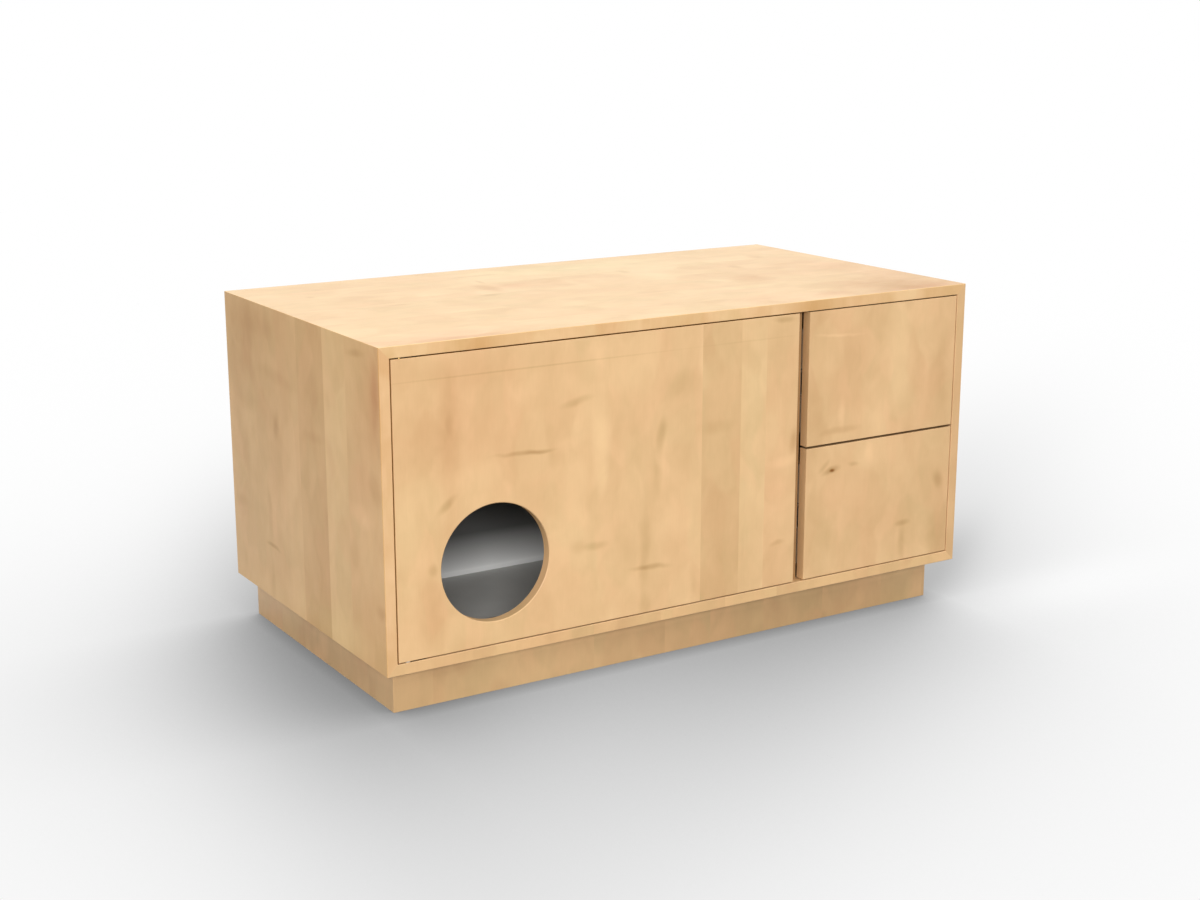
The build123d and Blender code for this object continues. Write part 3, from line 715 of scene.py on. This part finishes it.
def beech(name):
    """Raw beech with its short dark rays."""
    finish = Finish(name)
    tone = finish.noise(finish.place, *beech_clouds)
    ray = finish.noise(finish.place, *beech_rays)
    colour = finish.mix(finish.span(tone, *noise_span, 0.0, 1.0), beech_dark, beech_light)
    colour = finish.mix(finish.span(ray, *beech_ray_span), colour, beech_ray)
    finish.bump(ray, beech_relief)
    return finish.finish(Base_Color=colour, Roughness=finish.span(tone, *noise_span, *beech_roughness))


def drawn_metal(name):
    """Plated or bare metal with fine drawing lines and a little clouding."""
    dark, light, scales, rough_low, rough_high = metals[name]
    finish = Finish(name)
    line = finish.noise(finish.place, scales, *metal_line_detail)
    cloud = finish.noise(finish.place, *metal_clouds)
    share = finish.math("MULTIPLY", cloud, metal_cloud_weight)
    share = finish.math("MULTIPLY_ADD", line, metal_line_weight, share)
    colour = finish.mix(finish.span(share, *metal_tone_span, 0.0, 1.0), dark, light)
    finish.bump(line, metal_relief)
    rough = finish.span(share, *noise_span, rough_high, rough_low)
    return finish.finish(Base_Color=colour, Roughness=rough, Metallic=1.0)


def moulded(name, upper=None):
    """Moulded plastic or rubber, fine grained and faintly clouded, with a dark colour if given: painted
    shade up the tray's wall, and also over its front lip.
    """
    dark, light, rough, grain, relief = plastics[name]
    finish = Finish(name)
    cloud = finish.noise(finish.place, *plastic_clouds)
    grit = finish.noise(finish.place, (1.0 / (grain * millimetre),) * 3, *plastic_grit_detail)
    share = finish.math("MULTIPLY", cloud, plastic_cloud_weight)
    share = finish.math("MULTIPLY_ADD", grit, plastic_grit_weight, share)
    colour = finish.mix(finish.span(share, *noise_span, 0.0, 1.0), dark, light)
    if upper:
        # painted shade darkening up the tray's wall; the same colour also covers its front lip
        _, depth, height = finish.split(finish.place)
        rise = finish.span(height, tray_shade_low * millimetre, tray_shade_high * millimetre, 0.0, 1.0)
        rise = finish.math("POWER", rise, tray_shade_curve)
        lip = finish.span(depth, tray_lip_band_start * millimetre, tray_lip_band_end * millimetre, 0.0, 1.0)
        colour = finish.mix(finish.math("MAXIMUM", rise, lip), colour, upper)
    finish.bump(grit, relief * millimetre)
    roughs = rough + plastic_roughness_drift, rough - plastic_roughness_drift
    return finish.finish(Base_Color=colour, Roughness=finish.span(grit, *noise_span, *roughs))


def dress(material, *nodes):
    """Gives CAD nodes a finish."""
    for node in nodes:
        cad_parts[node].material_slots[0].material = material


def dress_boards():
    """Maple on every board that shows, with the grain upright or along the width."""
    upright, sideways, level = "xyz", "yxz", "yzx"
    staves = {board: even_staves(*plan) for board, plan in chance_staves.items()}
    shifts = figure_shifts
    dress(maple("door_maple", upright, door_staves, shifts["door"], door_patches, door_seams,
                edges=door_edge_shading, edge_gloss=gap_edge_gloss), "door_panel")
    dress(maple("drawer_front_maple", upright, drawer_staves, shifts["drawer"], drawer_patches,
                edges=drawer_edge_shading, edge_gloss=gap_edge_gloss), "upper_drawer_front", "lower_drawer_front")
    dress(maple("left_side_maple", sideways, left_staves, shifts["left"], left_figure_and_painted_light_patches, edges=left_edge_shading,
                painted_light_colour=left_painted_shade_maple_colour, tone_spread=top_and_left_tone_spread, rising_gloss=left_gloss),
          "left_side_panel")
    dress(maple("right_side_maple", sideways, staves["side"], shifts["right"], edges=right_edge_shading),
          "right_side_panel")
    dress(maple("divider_maple", sideways, staves["side"], shifts["divider"], edges=divider_edge_shading,
                edge_gloss=gap_edge_gloss), "divider_panel")
    dress(maple("top_maple", level, staves["top"], shifts["top"], top_patches,
                edge_patches=top_edge_patches, edge_axes=upright, painted_light_colour=top_painted_light_maple_colour,
                tone_spread=top_and_left_tone_spread), "top_panel")
    dress(maple("bottom_maple", level, staves["bottom"], shifts["bottom"], edge_axes=upright,
                tone_spread=plinth_tone_spread), "bottom_panel")
    dress(maple("back_maple", upright, staves["back"], shifts["back"]), "back_panel")
    dress(maple("plinth_maple", upright, staves["plinth"], shifts["plinth"], plinth_tone_and_painted_light_patches,
                tone_spread=plinth_tone_spread), "plinth_front", "plinth_back")
    dress(maple("plinth_side_maple", sideways, staves["plinth_side"], shifts["plinth_side"],
                plinth_side_painted_light_band, tone_spread=plinth_tone_spread),
          "plinth_left", "plinth_right", "plinth_cross_rail")


def dress_drawers():
    """Birch plywood on the drawer boxes."""
    levels = "upper", "lower"
    thicknesses = {"x": ("left_side", "right_side"), "y": ("inner_front", "back"), "z": ("bottom",)}
    for axis, panels in thicknesses.items():
        ply = birch_ply("drawer_birch_" + axis, axis)
        dress(ply, *(f"{level}_drawer_{panel}" for level in levels for panel in panels))


screw_steel = drawn_metal("screw_steel")
tray_plastic = moulded("tray_plastic", tray_painted_shade_colour)


def dress_fittings():
    """Finishes of the runners, screws, pivots, catch and tray."""
    zinc = drawn_metal("runner_zinc")
    runners = (f"{level}_{side}_{member}_runner" for level in ("upper", "lower")
               for side in ("left", "right") for member in ("cabinet", "middle", "drawer"))
    dress(zinc, *runners, "strike_plate")
    dress(screw_steel, *(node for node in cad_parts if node.endswith("screws")))
    dress(drawn_metal("pivot_brass"), "top_pivot_seat", "bottom_pivot_pin_plate", "top_pivot_pin_plate",
          "bottom_pivot_seat")
    dress(beech("raw_beech"), "mitre_splines", "divider_dowels", "plinth_corner_blocks")
    dress(moulded("washer_nylon"), "pivot_washer")
    dress(moulded("catch_plastic"), "catch_body")
    dress(moulded("catch_ferrite"), "catch_magnet")
    dress(tray_plastic, "litter_tray")
    dress(moulded("mat_rubber"), "tray_mat")


def grown(name, tree, source, sizes):
    """A plain mesh piece made by a geometry tree from a source mesh, with its named sizes set."""
    maker = bpy.data.objects.new(name + "_maker", source)
    bpy.context.scene.collection.objects.link(maker)
    modifier = maker.modifiers.new("tree", "NODES")
    modifier.node_group = tree
    for item in tree.interface.items_tree:
        if item.in_out == "INPUT" and item.name in sizes:
            modifier[item.identifier] = sizes[item.name]
    graph = bpy.context.evaluated_depsgraph_get()
    mesh = bpy.data.meshes.new_from_object(maker.evaluated_get(graph), depsgraph=graph)
    maker.modifiers.remove(modifier)
    bpy.data.objects.remove(maker)
    mesh.name = name
    piece = bpy.data.objects.new(name, mesh)
    bpy.context.scene.collection.objects.link(piece)
    return piece


def screw_tree():
    """Screws with a cross recess, stood on points that give each one's facing and length."""
    inputs = [("Places", "Geometry")] + [(size, "Float") for size in screw_sizes]
    inputs += [("Seed", "Int"), ("Steel", "Material")]
    made, given, result = new_group("screw_set", "GeometryNodeTree", inputs, [("Screws", "Geometry")])
    sink = made.combine(0.0, 0.0, made.math("MULTIPLY", given["Head Height"], -1.0))
    head = made.fill("GeometryNodeMeshCone", {
        "Vertices": screw_head_corners, "Radius Top": given["Crown Radius"],
        "Radius Bottom": given["Foot Radius"], "Depth": given["Head Height"]})
    head = made.fill("GeometryNodeTransform", {"Geometry": head, "Translation": sink})
    cut = made.node("GeometryNodeMeshBoolean", head, operation="DIFFERENCE", solver="EXACT")
    depth = made.math("MULTIPLY", given["Drive Depth"], 2.0)
    span, width = given["Drive Span"], given["Drive Width"]
    for way in ((span, width), (width, span)):
        bar = made.fill("GeometryNodeMeshCube", {"Size": made.combine(*way, depth)})
        made.join(cut.inputs[1], bar)
    shank = made.fill("GeometryNodeMeshCylinder", {
        "Vertices": screw_shank_corners, "Radius": given["Shank Radius"], "Depth": 1.0})
    shank = made.fill("GeometryNodeTransform", {"Geometry": shank, "Translation": (0.0, 0.0, -0.5)})

    facing = made.fill("GeometryNodeInputNamedAttribute", {"Name": "facing"}, data_type="FLOAT_VECTOR")
    reach = made.fill("GeometryNodeInputNamedAttribute", {"Name": "reach"}, data_type="FLOAT")
    stand = made.fill("FunctionNodeAlignRotationToVector", {"Vector": facing}, axis="Z")
    spin = made.node("FunctionNodeRandomValue", data_type="FLOAT")
    for index, value in ((2, 0.0), (3, math.pi / 2)):
        made.join(spin.inputs[index], value)
    made.join(spin.inputs["Seed"], given["Seed"])
    spin = made.fill("FunctionNodeAxisAngleToRotation", {"Axis": (0.0, 0.0, 1.0), "Angle": spin.outputs[1]})
    stand = made.fill(
        "FunctionNodeRotateRotation", {"Rotation": stand, "Rotate By": spin}, rotation_space="LOCAL")
    heads = made.fill("GeometryNodeInstanceOnPoints", {
        "Points": given["Places"], "Instance": cut.outputs[0], "Rotation": stand})
    neck = made.math("MULTIPLY", given["Head Height"], screw_neck_share)
    shanks = made.fill("GeometryNodeInstanceOnPoints", {
        "Points": given["Places"], "Instance": shank, "Rotation": stand,
        "Scale": made.combine(1.0, 1.0, made.math("SUBTRACT", reach, neck))})
    shanks = made.fill("GeometryNodeTranslateInstances", {
        "Instances": shanks, "Translation": made.combine(0.0, 0.0, made.math("MULTIPLY", neck, -1.0)),
        "Local Space": True})
    both = made.node("GeometryNodeJoinGeometry")
    for part in (shanks, heads):
        made.join(both.inputs[0], part)
    plain = made.fill("GeometryNodeRealizeInstances", {"Geometry": both.outputs[0]})
    steel = made.fill("GeometryNodeSetMaterial", {"Geometry": plain, "Material": given["Steel"]})
    made.join(result[0], steel)
    return made.tree


def screw_places(nodes):
    """The head's middle, the way the head faces and the length of each screw in CAD nodes."""
    places = []
    for node in nodes:
        build = bmesh.new()
        build.from_mesh(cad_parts[node].data)
        bmesh.ops.remove_doubles(build, verts=build.verts, dist=screw_weld)
        for start in build.verts:
            if start.tag:
                continue
            start.tag = True
            screw = [start]
            for vertex in screw:
                for edge in vertex.link_edges:
                    other = edge.other_vert(vertex)
                    if not other.tag:
                        other.tag = True
                        screw.append(other)
            places.append(screw_place([vertex.co.copy() for vertex in screw]))
        build.free()
    return places


def screw_place(points):
    """The same for one screw: it lies along its longest side, and its widest points are at the head."""
    low = Vector(min(point[axis] for point in points) for axis in range(3))
    high = Vector(max(point[axis] for point in points) for axis in range(3))
    middle = (low + high) / 2
    length = max(high - low)
    along = list(high - low).index(length)
    way = Vector(1.0 if axis == along else 0.0 for axis in range(3))

    def breadth(point):
        away = point - middle
        return (away - way * away.dot(way)).length

    widest = max(points, key=breadth)
    facing = way if (widest - middle).dot(way) > 0.0 else -way
    return middle + facing * (length / 2), facing, length


def make_screws():
    """Every screw that shows, in place of the plain ones of the CAD model."""
    tree = screw_tree()
    for name, body, kind, nodes in screw_sets:
        places = screw_places(nodes)
        source = bpy.data.meshes.new(name + "_places")
        source.from_pydata([place for place, _, _ in places], [], [])
        facing = source.attributes.new("facing", "FLOAT_VECTOR", "POINT")
        facing.data.foreach_set("vector", [part for _, way, _ in places for part in way])
        reach = source.attributes.new("reach", "FLOAT", "POINT")
        reach.data.foreach_set("value", [length for _, _, length in places])
        sizes = {size: value * millimetre for size, value in zip(screw_sizes, screw_kinds[kind])}
        sizes.update({"Seed": screw_seed, "Steel": screw_steel})
        piece = grown(name, tree, source, sizes)
        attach(piece, body)
        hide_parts(*nodes)


def bead_tree():
    """A round bead along a path."""
    inputs = [("Path", "Geometry"), ("Bead Radius", "Float"), ("Plastic", "Material")]
    made, given, result = new_group("rim_bead", "GeometryNodeTree", inputs, [("Bead", "Geometry")])
    path = made.fill("GeometryNodeMeshToCurve", {"Mesh": given["Path"]})
    ring = made.fill("GeometryNodeCurvePrimitiveCircle", {
        "Resolution": tray_bead_corners, "Radius": given["Bead Radius"]})
    bead = made.fill("GeometryNodeCurveToMesh", {"Curve": path, "Profile Curve": ring})
    bead = made.fill("GeometryNodeSetShadeSmooth", {"Geometry": bead})
    plain = made.fill("GeometryNodeRealizeInstances", {"Geometry": bead})
    plastic = made.fill("GeometryNodeSetMaterial", {"Geometry": plain, "Material": given["Plastic"]})
    made.join(result[0], plastic)
    return made.tree


def rim_height(y):
    """How high the tray's rim is at a place from front to back."""
    share = (y - tray_slope_start) / (tray_slope_end - tray_slope_start)
    return tray_lip_z + (tray_rim_z - tray_lip_z) * min(max(share, 0.0), 1.0)


def rim_path():
    """The middle of the tray's rim, once round, drawn in where the sloping wall is low."""
    half_wall = tray_wall / 2
    corners = (
        (tray_right - tray_corner, tray_back - tray_corner, 0),
        (tray_left + tray_corner, tray_back - tray_corner, 90),
        (tray_left + tray_corner, tray_front + tray_corner, 180),
        (tray_right - tray_corner, tray_front + tray_corner, 270),
    )
    outline = []
    for x, y, start in corners:
        for step in range(tray_corner_steps + 1):
            turn = math.radians(start + 90.0 * step / tray_corner_steps)
            outline.append((x, y, math.cos(turn), math.sin(turn), tray_corner))
        if start == 90:
            outline.append((tray_left, tray_slope_end, -1.0, 0.0, 0.0))
        if start == 270:
            outline.append((tray_right, tray_slope_end, 1.0, 0.0, 0.0))
    path = []
    for x, y, out_x, out_y, radius in outline:
        height = rim_height(y + out_y * radius)
        low_share = (tray_rim_z - height) / (tray_rim_z - tray_foot_z)
        reach = radius - half_wall - tray_draft * low_share
        path.append(Vector((x + out_x * reach, y + out_y * reach, height - tray_bead_drop)) * millimetre)
    return path


def make_tray_rim():
    """The rolled rim of the litter tray."""
    path = rim_path()
    source = bpy.data.meshes.new("tray_rim_path")
    source.from_pydata(path, [(i, (i + 1) % len(path)) for i in range(len(path))], [])
    sizes = {"Bead Radius": tray_bead_radius * millimetre, "Plastic": tray_plastic}
    piece = grown("tray_rolled_rim", bead_tree(), source, sizes)
    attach(piece, "carcass")


def pointing(azimuth, elevation):
    """A direction from the cabinet: azimuth 0 is the front, 90 the right."""
    around, up = math.radians(azimuth), math.radians(elevation)
    return Vector((math.sin(around) * math.cos(up), -math.cos(around) * math.cos(up), math.sin(up)))


def seen_directly(nodes):
    """1 where the eye, a reflection or a clear piece sees the background, 0 where it only lights."""
    path = nodes.node("ShaderNodeLightPath").outputs
    seen = nodes.math("MAXIMUM", path["Is Camera Ray"], path["Is Glossy Ray"])
    return nodes.math("MAXIMUM", seen, path["Is Transmission Ray"])


def make_floor():
    """A wide pale floor that is white far off and shaded softly where the cabinet stands."""
    mesh = bpy.data.meshes.new("studio_floor")
    build = bmesh.new()
    bmesh.ops.create_circle(build, cap_ends=True, segments=floor_corners, radius=floor_radius)
    bmesh.ops.translate(build, verts=build.verts, vec=(0.0, 0.0, -floor_drop))
    build.to_mesh(mesh)
    build.free()
    floor = bpy.data.objects.new("studio_floor", mesh)
    bpy.context.scene.collection.objects.link(floor)
    finish = Finish("studio_floor")

    def shade(normal, power):
        made = finish.node("ShaderNodeAmbientOcclusion", samples=floor_shade_samples)
        made.inputs["Distance"].default_value = floor_shade_reach
        finish.join(made.inputs["Normal"], normal)
        return finish.math("POWER", made.outputs["AO"], power)

    upward = finish.combine(0.0, 0.0, 1.0)
    sideways = finish.combine(*pointing(floor_side_azimuth, floor_side_elevation))
    level = finish.math("MULTIPLY", shade(upward, floor_sky_power), shade(sideways, floor_side_power))
    for x, y, half_length, half_width, turn, depth in floor_pools:
        away = finish.vector("SUBTRACT", finish.place, (x, y, 0.0))
        turned = finish.fill("ShaderNodeVectorRotate", {"Vector": away, "Angle": -math.radians(turn)},
                             rotation_type="Z_AXIS")
        reach = finish.vector("LENGTH", finish.vector("DIVIDE", turned, (half_length, half_width, 1.0)))
        squared = finish.math("MULTIPLY", reach, reach)
        fade = finish.math("EXPONENT", finish.math("MULTIPLY", squared, -1.0))
        level = finish.math("MULTIPLY", level, finish.math("MULTIPLY_ADD", fade, -depth, 1.0))
    glow = finish.node("ShaderNodeEmission", level)
    matt = finish.node("ShaderNodeBsdfDiffuse", (*floor_bounce, 1.0))
    either = finish.node("ShaderNodeMixShader", seen_directly(finish), matt.outputs[0], glow.outputs[0])
    finish.join(finish.tree.nodes["Material Output"].inputs["Surface"], either.outputs[0])
    finish.tree.nodes.remove(finish.shader)
    mesh.materials.append(finish.material)


def make_dome():
    """White studio air: an even soft light, seen as plain white."""
    world = bpy.data.worlds.new("studio_dome")
    bpy.context.scene.world = world
    world.use_nodes = True
    nodes = Nodes(world.node_tree)
    light = world.node_tree.nodes["Background"]
    light.inputs["Color"].default_value = (1.0, 1.0, 1.0, 1.0)
    nodes.join(light.inputs["Strength"], nodes.span(seen_directly(nodes), 0.0, 1.0, dome_strength, 1.0))


def make_lamp(name, azimuth, elevation, distance, width, height, power):
    """A soft lamp that looks at the cabinet."""
    data = bpy.data.lights.new(name, "AREA")
    data.shape = "RECTANGLE"
    data.size = width
    data.size_y = height
    data.energy = power
    lamp = bpy.data.objects.new(name, data)
    bpy.context.scene.collection.objects.link(lamp)
    way = pointing(azimuth, elevation)
    lamp.location = Vector(light_aim) + way * distance
    lamp.rotation_euler = (-way).to_track_quat("-Z", "Y").to_euler()


def make_camera():
    """The camera at the photograph's viewing angle."""
    data = bpy.data.cameras.new("camera")
    data.lens = camera_lens
    data.sensor_width = camera_sensor
    camera = bpy.data.objects.new("camera", data)
    bpy.context.scene.collection.objects.link(camera)
    camera.location = camera_place
    camera.rotation_euler = [math.radians(turn) for turn in camera_turn]
    bpy.context.scene.camera = camera


make_camera()
make_dome()
make_floor()
make_lamp("key_lamp", *key_lamp)
dress_boards()
dress_drawers()
dress_fittings()
make_screws()
make_tray_rim()
bpy.context.scene.view_settings.view_transform = "Standard"
